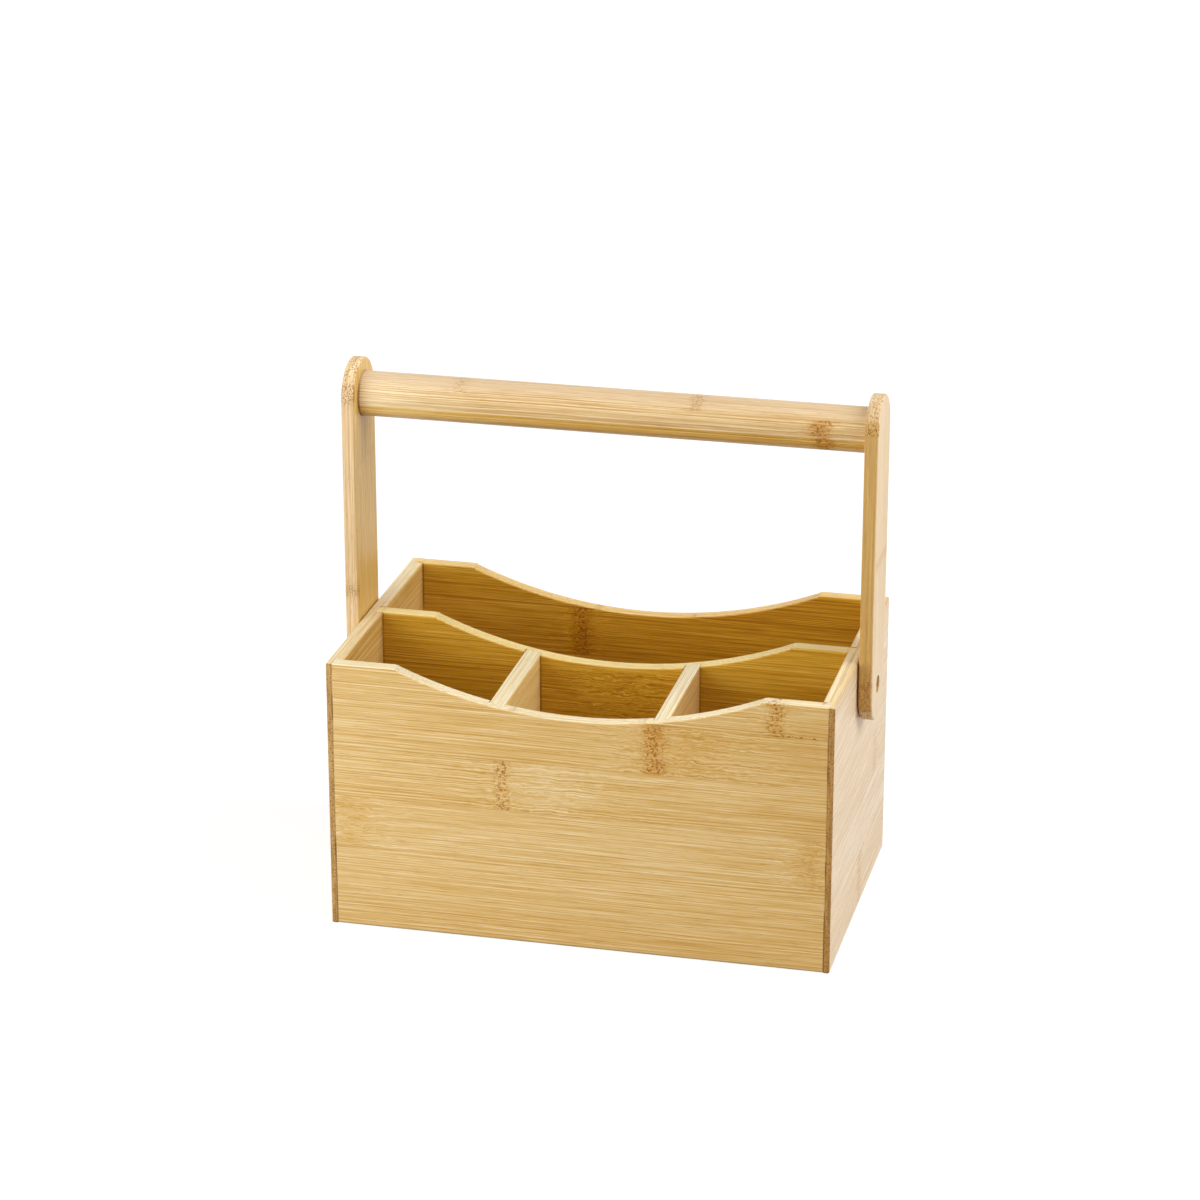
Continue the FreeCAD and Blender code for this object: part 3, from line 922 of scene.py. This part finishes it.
@dataclass
class Box:
    """The four walls and the bottom of the caddy."""

    width: float = 225 * MM
    depth: float = 138 * MM
    height: float = 124 * MM
    side_thickness: float = 6.5 * MM
    face_thickness: float = 6.5 * MM
    divider_thickness: float = 7 * MM
    corner_lip: float = 2.7 * MM
    edge_round: float = 0.8 * MM
    joint_round: float = 0.3 * MM
    bottom_thickness: float = 4 * MM
    bottom_lift: float = 4 * MM
    groove_depth: float = 3 * MM
    bottom_play: float = 0.5 * MM
    housing_depth: float = 3 * MM
    pivot_height: float = 109 * MM
    screw_bore: float = 2.05 * MM
    cut_reach: float = 200 * MM  # to each side, beyond the ends of every board
    scored: tuple[float, float] = (2 * MM, 106 * MM)
    score_width: float = 0.10 * MM
    score_depth: float = 0.04 * MM
    scoop: Scoop = field(default_factory=Scoop)

    @property
    def side_inner(self) -> float:
        """X of the side boards' inner faces."""
        return self.width / 2 - self.side_thickness

    @property
    def face_inner(self) -> float:
        """Y of the back board's inner face, and -Y of the front board's."""
        return self.depth / 2 - self.face_thickness

    @property
    def face_end(self) -> float:
        """X of the front and back boards' ends."""
        return self.width / 2 - self.corner_lip

    @property
    def floor(self) -> float:
        """Z of the bottom board's upper face."""
        return self.bottom_lift + self.bottom_thickness

    @property
    def cross_centre(self) -> float:
        """How far the cross dividers stand from the middle."""
        return (2 * self.side_inner + self.divider_thickness) / 6

    def build(self) -> None:
        """Model and dress the box."""
        self.face_board("front", -1, self.front_finish())
        self.face_board("back", 1, self.back_finish())
        for side in Side:
            self.side_board(side)
        self.bottom_board()

    @property
    def board_stains_and_shade(self) -> tuple[Stain, ...]:
        """Dark lines at the corner joints, and painted contact shadow round the foot."""
        return Stain(Axis.X, self.face_end), Stain(Axis.Z, 0.0, 0.9 * MM, 0.5, 0.8)

    def joints(self, finish: BambooFinish) -> list[float]:
        """Places of the strips' joints where the board is scored.

        Args:
            finish: The board's finish.

        Returns:
            The joints' heights.
        """
        first, strip = finish.joint, finish.strip
        counts = (math.ceil((limit - first) / strip) for limit in self.scored)
        return [first + count * strip for count in range(*counts)]

    def front_finish(self) -> BambooFinish:
        """Bamboo of the front board, with its knuckles.

        Returns:
            The board's finish.
        """
        rows = [(15.3 + 23.5 * k, 15.3 + 23.5 * (k + 1)) for k in range(-1, 5)]
        marks = (
            Mark(-33.5, rows[3], 3.2, 0.8, -0.04),
            Mark(-14, rows[3], 17, 0.0, 0.12, 1.1),
            Mark(34, rows[4], 4.4, 1.2, -0.16),
            Mark(52, rows[4], 14, 0.0, -0.08),
            Mark(87, rows[5], 3.6, 0.9, -0.12),
            Mark(104, rows[2], 7, 0.15, -0.12),
            Mark(-103, rows[2], 9, 0.0, -0.12),
            Mark(98, (108.7, 109.8), 12, 1.3, -0.1, 0.0),
            # Paler towards the left end and darker towards the right: painted light falling off
            # across the front.
            shade(-118, 45, 0.05),
            shade(118, 55, -0.05),
        )
        stains_and_shade = (
            *self.board_stains_and_shade,
            # Painted contact shadow along the front board's foot.
            Stain(Axis.Z, 0.0, 1.2 * MM, 0.45, 0.6),
            Stain(Axis.X, self.face_end, 0.5 * MM, 1.0, 0.9, 32 * MM),
        )
        look = {"joint": rows[1][0] * MM, "seed": 3.0, "marks": marks, "stains_and_shade": stains_and_shade}
        return BambooFinish("front", Axis.X, Axis.Z, **look)

    def back_finish(self) -> BambooFinish:
        """Bamboo of the back board, with a deeper golden layer inside that also paints the shade
        of the box's inside.

        Returns:
            The board's finish.
        """
        marks = (
            Mark(-30, (85, 108.5)),
            Mark(58, (38, 61.5), specks=0.7),
            Mark(-70, (61.5, 85), specks=0.6),
            # Paler at the left end and darker towards the middle: painted light and shade on the
            # inside.
            shade(-112, 40, 0.10),
            shade(40, 75, -0.16),
        )
        middle = self.depth / 2 - self.face_thickness / 2
        return BambooFinish(
            "back", Axis.X, Axis.Z, Tones(rim=INTERIOR_GOLD_AND_SHADE.rim), joint=14.5 * MM, ply=middle,
            seed=31.0, marks=marks,
            stains_and_shade=(
                # Painted shade in the inner corners where the back board meets the side boards.
                *self.board_stains_and_shade, Stain(Axis.X, self.side_inner, 1.0 * MM, 0.6, 0.6, back=middle)
            ),
            layer=Layer(Axis.Y, middle, INTERIOR_GOLD_AND_SHADE),
        )

    def side_finish(self, side: Side) -> BambooFinish:
        """Bamboo of a side board, in two layers: the pale, washed-out outer tones paint the sheen
        on the outer face, the inner layer is golden.

        Args:
            side: Which of the two boards.

        Returns:
            The board's finish.
        """
        middle = self.width / 2 - 3.9 * MM
        end = (196, 158, 94) if side is Side.LEFT else (188, 142, 72)
        return BambooFinish(
            f"{side.word} side", Axis.Y, Axis.Z,
            # Pale outer tones: painted sheen of the outer face, seen at a grazing angle.
            Tones((204, 168, 122), (227, 201, 163), (245, 228, 204), (238, 205, 150), end),
            joint=2.5 * MM, ply=side * middle, seed=50.0 + 7 * side,
            marks=(Mark(3, (2.5, 26), 5, 0.35, -0.08), Mark(side * 38, (49.5, 73), 5, 0.3, -0.06)),
            stains_and_shade=self.board_stains_and_shade,
            layer=Layer(Axis.X, middle, Tones((190, 140, 54), (219, 178, 98), (240, 210, 146))),
        )

    def face_board(self, word: str, side: int, finish: BambooFinish) -> None:
        """Model the front board, at side -1, or the back board, at side 1.

        Args:
            word: The board's name, front or back.
            side: The sign of its Y.
            finish: The board's finish.
        """
        inner, outer = side * self.face_inner, side * self.depth / 2
        end = self.face_end
        low, high = (-end, inner, 0), (end, outer, self.height)
        board = self.scoop.board(f"{word}_board", low, high)
        for place in (-self.side_inner, self.side_inner):
            board.split(Axis.X, place)

        def eased(point: Vector) -> bool:
            """Whether a point is on a free top edge or the outer bottom edge.

            Args:
                point: A point of an edge.

            Returns:
                Whether the edge is rounded there.
            """
            on_outer = near(point.y, outer)
            on_inner = near(point.y, inner) and abs(point.x) < self.side_inner + NEAR
            upper = (on_outer or on_inner) and point.z > self.scoop.lowest
            return upper or on_outer and near(point.z, 0)

        board.ease(eased, self.edge_round, 4)
        board.ease(lambda p: near(abs(p.x), end) and near(p.y, outer), self.joint_round, 2)
        board.score(Axis.Z, self.joints(finish), self.score_width, self.score_depth)
        opening = side * (self.face_inner - PAST)
        groove = side * (self.face_inner + self.groove_depth)
        low = (-self.cut_reach, opening, self.bottom_lift)
        board.notch(low, (self.cut_reach, groove, self.floor))
        if side < 0:
            self.cross_housings(board, opening, -self.face_inner - self.housing_depth)
        board.finish(finish, f"{word}_panel")

    def cross_housings(self, board: Workpiece, start: float, end: float) -> None:
        """Cut a housing for each cross divider, between two places along Y.

        Args:
            board: The board that they are cut into.
            start: Y outside the board, where they begin.
            end: Y of their bottom.
        """
        half = self.divider_thickness / 2
        for side in Side:
            middle = side * self.cross_centre
            low = (middle - half, start, self.floor)
            board.notch(low, (middle + half, end, self.height + PAST))

    def side_board(self, side: Side) -> None:
        """Model a side board with its rabbets, groove, housing and bore.

        Args:
            side: Which of the two boards.
        """
        half, top = self.depth / 2, self.height + PAST
        outer, inner = side * self.width / 2, side * self.side_inner
        low, high = (inner, -half, 0), (outer, half, self.height)
        board = Workpiece.block(f"{side.word}_side_board", low, high)
        opening, lip = side * (self.side_inner - PAST), side * self.face_end
        for end in (-1, 1):
            low = (opening, end * self.face_inner, -PAST)
            board.notch(low, (lip, end * (half + PAST), top))

        def eased(point: Vector) -> bool:
            """Whether a point is on an outer edge or an upper one.

            Args:
                point: A point of an edge.

            Returns:
                Whether the edge is rounded there.
            """
            rim = near(point.x, inner) or near(abs(point.y), half)
            return near(point.x, outer) or near(point.z, self.height) and rim

        board.ease(eased, self.edge_round, 4)
        groove, housing = (
            side * (self.side_inner + depth) for depth in (self.groove_depth, self.housing_depth)
        )
        low = (opening, -self.face_inner, self.bottom_lift)
        board.notch(low, (groove, self.face_inner, self.floor))
        middle = self.divider_thickness / 2
        board.notch((opening, -middle, self.floor), (housing, middle, top))
        depth = self.side_thickness + PAST
        board.drill(outer, self.pivot_height, self.screw_bore, -side * depth)
        board.finish(self.side_finish(side), f"{side.word}_side_panel")

    def bottom_board(self) -> None:
        """Model the bottom board."""
        reach = self.groove_depth - self.bottom_play
        x, y = self.side_inner + reach, self.face_inner + reach
        board = Workpiece.block("bottom_board", (-x, -y, self.bottom_lift), (x, y, self.floor))
        board.ease(lambda p: True, self.joint_round, 2)
        finish = BambooFinish("bottom", Axis.X, Axis.Y, joint=5 * MM, seed=77.0)
        board.finish(finish, "bottom_panel")


@dataclass
class Partitions:
    """The long divider and the two cross dividers."""

    box: Box
    screw_tip: float = 95.5 * MM
    tip_play: float = 0.1 * MM

    def build(self) -> None:
        """Model and dress the partitions."""
        self.long_divider()
        for side in Side:
            self.cross_divider(side)

    def long_divider(self) -> None:
        """Model the board across the middle, with its housings and bores."""
        box = self.box
        half = box.divider_thickness / 2
        end = box.side_inner + box.housing_depth
        low, high = (-end, -half, box.floor), (end, half, box.height)
        board = box.scoop.board("middle_board", low, high)
        lowest = box.scoop.lowest
        board.ease(lambda p: near(abs(p.y), half) and p.z > lowest, box.edge_round, 4)
        box.cross_housings(board, -half - PAST, -half + box.housing_depth)
        depth = end - self.screw_tip + self.tip_play
        for sign in (-1, 1):
            board.drill(sign * end, box.pivot_height, box.screw_bore, -sign * depth)
        crossings = (box.cross_centre - half, box.cross_centre + half)
        # The middle board takes the deep gold that also paints the box's inside in shade.
        finish = BambooFinish(
            "middle", Axis.X, Axis.Z, replace(INTERIOR_GOLD_AND_SHADE, rim=(252, 207, 128)), joint=11.5 * MM,
            seed=90.0, marks=(Mark(6, (82, 105.5), 9, 0.0, -0.05, 2.4), Mark(-84, (58, 82))),
            # Painted shade in the inner corners at the side boards and at the cross dividers.
            stains_and_shade=(
                Stain(Axis.X, box.side_inner, 1.0 * MM, 0.6, 0.6),
                *(Stain(Axis.X, place, 1.0 * MM, 0.6, 0.6, back=0.0) for place in crossings),
            ),
        )
        board.finish(finish, "long_divider")

    def cross_divider(self, side: Side) -> None:
        """Model a short board between the front board and the long divider.

        Args:
            side: Which of the two boards.
        """
        box = self.box
        half = box.divider_thickness / 2
        middle = side * box.cross_centre
        front, back = -(box.face_inner + box.housing_depth), -(half - box.housing_depth)
        low, high = (middle - half, front, box.floor), (middle + half, back, box.height)
        board = box.scoop.board(f"{side.word}_cross_board", low, high, shoulders=False)

        lowest = box.scoop.lowest
        board.ease(lambda p: near(abs(p.x - middle), half) and p.z > lowest, box.edge_round, 4)
        # The left divider's paler tones paint the light that falls on its right face.
        tones = Tones((228, 186, 102), (247, 217, 146), (252, 233, 178))
        if side is Side.RIGHT:
            tones = Tones((200, 152, 72), (228, 190, 122), (242, 216, 160))
        look = {"joint": 9 * MM, "seed": 110.0 + side}
        finish = BambooFinish(f"{side.word} cross", Axis.Y, Axis.Z, tones, **look)
        board.finish(finish, f"cross_divider_{side.word}")


@dataclass
class Handle:
    """The two arms and the rod that swing together over the box."""

    box: Box
    arm_inner: float = 113.2 * MM
    arm_thickness: float = 6 * MM
    arm_width: float = 32 * MM
    arm_round: float = 1 * MM
    rod_distance: float = 116.8 * MM
    rod_diameter: float = 20 * MM
    seat_depth: float = 3.5 * MM
    seat_play: float = 0.1 * MM
    seat_round: float = 0.4 * MM
    rod_chamfer: float = 0.6 * MM
    recess_diameter: float = 8 * MM
    recess_depth: float = 3.8 * MM
    arm_facets: int = 98  # leaves a flat facet at each side of the arm's round ends
    rod_facets: int = 128

    def build(self) -> None:
        """Model and dress the handle."""
        for side in Side:
            self.arm(side)
        self.rod()

    @property
    def rod_height(self) -> float:
        """Z of the rod's axis."""
        return self.box.pivot_height + self.rod_distance

    def arm(self, side: Side) -> None:
        """Model an arm: a flat bar with round ends, a rod seat and a recess.

        Args:
            side: Which of the two arms.
        """
        inner = side * self.arm_inner
        outer = side * (self.arm_inner + self.arm_thickness)
        centre = ((inner + outer) / 2, 0.0, self.box.pivot_height)
        radius = self.arm_width / 2 / math.cos(math.pi / self.arm_facets)
        size = (radius, self.arm_thickness, self.arm_facets)
        arm = Workpiece.turned(f"{side.word}_arm", Axis.X, centre, *size)
        with arm.holding(lambda p: p.z > self.box.pivot_height):
            bpy.ops.transform.translate(value=(0.0, 0.0, self.rod_distance))
        arm.ease(lambda p: near(p.x, inner, outer), self.arm_round, 5)
        seat = self.rod_diameter / 2 + self.seat_play
        arm.drill(inner, self.rod_height, seat, side * self.seat_depth)

        def on_seat(point: Vector) -> bool:
            """Whether a point is on the rim of the rod's seat."""
            radius = math.hypot(point.y, point.z - self.rod_height)
            return near(point.x, inner) and abs(radius - seat) < 2 * NEAR

        arm.ease(on_seat, self.seat_round, 2)
        recess = self.recess_diameter / 2
        arm.drill(outer, self.box.pivot_height, recess, -side * self.recess_depth)
        depth = self.arm_thickness + PAST
        arm.drill(outer, self.box.pivot_height, self.box.screw_bore, -side * depth)
        node = f"handle_arm_{side.word}"
        arm.finish(self.arm_finish(side), node, Slot.HANDLE, Body.HANDLE)

    def arm_finish(self, side: Side) -> BambooFinish:
        """Bamboo of an arm, in two layers: the pale outer half paints the sheen on the outer face,
        the inner half is golden.

        Args:
            side: Which of the two arms.

        Returns:
            The arm's finish.
        """
        rim, end = (226, 192, 138), (246, 219, 178)
        if side is Side.RIGHT:
            rim, end = (202, 157, 82), (230, 203, 166)
        gold = Tones((196, 144, 62), (222, 182, 98), (242, 212, 142), rim, end)
        return BambooFinish(
            f"{side.word} arm", Axis.Z, Axis.Y,
            # Pale outer tones: painted sheen of the outer face.
            Tones((196, 156, 100), (219, 190, 144), (240, 216, 180), rim, end), strip=40 * MM,
            joint=-20 * MM, seed=130.0 + side, marks=self.arm_marks(side),
            layer=Layer(Axis.X, self.arm_inner + self.arm_thickness / 2, gold), fleck=0.8 * MM,
        )

    def arm_marks(self, side: Side) -> tuple[Mark, ...]:
        """Knuckles of an arm: some cross it, some show on its front edge alone.

        Args:
            side: Which of the two arms.

        Returns:
            The arm's marks.
        """
        front, face = (-20, -13.5), (-13.5, 20)
        if side is Side.LEFT:
            return (
                Mark(234, front, 5.0, 0.8, 0.0, 0.3),
                Mark(228, front, 3.0, 1.0, -0.04, 0.5),
                Mark(138, front, 3.0, 0.6, -0.16, 1.0),
                Mark(197, face, 2.4, 0.1, -0.02, 1.0),
            )
        return (
            Mark(235, front, 5.0, 0.6, 0.0, 0.3),
            Mark(230, front, 1.8, 1.3, -0.06, 0.5),
            Mark(113.5, front, 1.4, 1.1, -0.14, 0.6),
            Mark(97.5, front, 4.0, 0.9, -0.14, 0.8),
            Mark(108, front, 12, 0.55, -0.08),
            Mark(168, face, 2.4, 0.4, -0.06, 1.0),
            shade(96, 45, 0.08, strip=face),
        )

    def rod(self) -> None:
        """Model the round rod, with its chamfered ends in the arms."""
        end = self.arm_inner + self.seat_depth
        centre = (0.0, 0.0, self.rod_height)
        size = (self.rod_diameter / 2, 2 * end, self.rod_facets)
        rod = Workpiece.turned("grip_rod", Axis.X, centre, *size)
        rod.ease(lambda p: near(abs(p.x), end), self.rod_chamfer, 2)
        low, middle, high = (self.rod_height / MM + step for step in (-20, 5.6, 20))
        # Golden lower half: painted shade under the rod, below its cream top.
        painted_shade_under = Tones((186, 136, 48), (219, 176, 90), (236, 204, 132))
        finish = BambooFinish(
            "rod", Axis.X, Axis.Z,
            Tones((194, 148, 80), (222, 189, 135), (242, 221, 180), (208, 176, 127)),
            strip=25.6 * MM, joint=middle * MM, seed=151.0,
            marks=(
                Mark(-68, (middle, high), 3, 0.35, -0.04, 0.8),
                Mark(38, (middle, high), 3, 0.5, -0.06, 0.8),
                Mark(94, (low, middle), 4.5, 0.9, -0.3, 1.2),
                # Paler towards the left end: painted light from the left.
                shade(-108, 32, 0.2, strip=(low, high)),
            ),
            # Painted shade ring where the rod enters each arm.
            stains_and_shade=(Stain(Axis.X, self.arm_inner, 1.0 * MM, 0.8, 0.8),),
            layer=Layer(Axis.Z, self.rod_height - 2.5 * MM, painted_shade_under),
        )
        rod.finish(finish, "handle_rod", Slot.HANDLE, Body.HANDLE)


@dataclass
class Pivots:
    """The screws and washers on which the handle swings."""

    kinds: tuple[str, ...] = ("screw", "washer")

    def build(self) -> None:
        """Dress the CAD nodes of the fixings in steel."""
        steel = SteelFinish().material()
        for name in (f"pivot_{kind}_{side.word}" for kind in self.kinds for side in Side):
            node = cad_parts[name]
            node.data.materials.clear()
            node.data.materials.append(steel)
            logger.info("%s has its steel", name)


# --- studio

WHITE = (1.0, 1.0, 1.0, 1.0)
GREY = (0.5, 0.5, 0.5, 1.0)


def place_object(name: str, data: bpy.types.ID, place: Triple, aim: Triple) -> Object:
    """Add a lamp or camera to the scene, turned to what it looks at.

    Args:
        name: The object's name.
        data: The lamp's or camera's data.
        place: Where it stands.
        aim: What it looks at.

    Returns:
        The new object.
    """
    obj = bpy.data.objects.new(name, data)
    bpy.context.scene.collection.objects.link(obj)
    obj.location = place
    view = Vector(aim) - Vector(place)
    obj.rotation_euler = view.to_track_quat("-Z", "Y").to_euler()
    return obj


@dataclass
class Lamp:
    """A soft box that looks at the caddy."""

    name: str  # the lamp's name
    place: Triple  # where it stands
    size: float  # the length of its sides
    power: float  # its power in watts

    def build(self, aim: Triple) -> None:
        """Hang the lamp and turn it to the aim.

        Args:
            aim: What the lamp looks at.
        """
        light = bpy.data.lights.new(self.name, "AREA")
        light.shape = "SQUARE"
        light.size = self.size
        light.energy = self.power
        place_object(self.name, light, self.place, aim).visible_camera = False


@dataclass
class Studio:
    """White floor, soft lamps and the camera."""

    floor_size: float = 12.0
    floor_glow: tuple[float, ...] = (0.3, 1.4, 0.60, 0.85)  # near, far, and how bright each is
    world_level: float = 0.42
    lamps: tuple[Lamp, ...] = (
        Lamp("front soft box", (-0.50, -0.57, 0.28), 0.6, 3.7),
        Lamp("right soft box", (0.92, 0.0, 0.95), 0.9, 11.2),
        Lamp("top soft box", (-0.3, -0.2, 1.9), 1.3, 7.5),
    )
    camera_place: Triple = (0.37345, -1.58979, 0.75628)
    camera_aim: Triple = (-0.00617, 0.0, 0.13735)
    lens: float = 118.23
    sensor: float = 36.0

    def build(self) -> None:
        """Set up the floor, the lamps, the world and the camera."""
        self.floor()
        self.world()
        for lamp in self.lamps:
            lamp.build(self.camera_aim)
        self.camera()
        bpy.context.scene.view_settings.view_transform = "Standard"
        logger.info("the studio has %d lamps", len(self.lamps))

    def _seen(self, net: Wiring) -> Socket:
        """Whether a ray is one that the camera or a mirroring surface sees."""
        rays = net.add("LightPath", {}).outputs
        return net.math("MAXIMUM", rays["Is Camera Ray"], rays["Is Glossy Ray"])

    def floor(self) -> None:
        """Lay the white floor, which keeps the caddy's soft shadow."""
        clear_selection()
        bpy.ops.mesh.primitive_plane_add(size=self.floor_size, location=(0, 0, 0))
        plane = bpy.context.active_object
        plane.name = plane.data.name = "studio_floor"
        material, net = Wiring.material("studio white")
        nodes = material.node_tree.nodes
        nodes.remove(nodes["Principled BSDF"])
        paint, lit = (net.add("BsdfDiffuse", {"Color": GREY}).outputs[0] for _ in range(2))
        place = net.add("TexCoord", {}).outputs["Object"]
        far = net.add("VectorMath", {0: place}, operation="LENGTH").outputs["Value"]
        feeds = {"Color": WHITE, "Strength": net.step(far, *self.floor_glow)}
        glow = net.add("Emission", feeds).outputs[0]
        shown = net.add("AddShader", {0: lit, 1: glow}).outputs[0]
        mixed = net.add("MixShader", {0: self._seen(net), 1: paint, 2: shown})
        net.fill(nodes["Material Output"], {"Surface": mixed.outputs[0]})
        plane.data.materials.append(material)

    def world(self) -> None:
        """Light from all round, and white where it is seen or mirrored."""
        world = bpy.data.worlds.new("studio world")
        bpy.context.scene.world = world
        world.use_nodes = True
        net = Wiring(world.node_tree)
        strength = net.step(self._seen(net), 0.0, 1.0, self.world_level, 1.0)
        net.fill(world.node_tree.nodes["Background"], {"Color": WHITE, "Strength": strength})

    def camera(self) -> None:
        """Place the camera."""
        camera = bpy.data.cameras.new("camera")
        camera.lens = self.lens
        camera.sensor_width = self.sensor
        obj = place_object("camera", camera, self.camera_place, self.camera_aim)
        bpy.context.scene.camera = obj


def main() -> None:
    """Build the caddy and its studio, in order."""
    logging.basicConfig(level=logging.INFO, format="%(name)s: %(message)s")
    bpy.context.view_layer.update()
    box = Box()
    box.build()
    Partitions(box).build()
    Handle(box).build()
    Pivots().build()
    Studio().build()
    clear_selection()


if __name__ == "__main__":
    main()
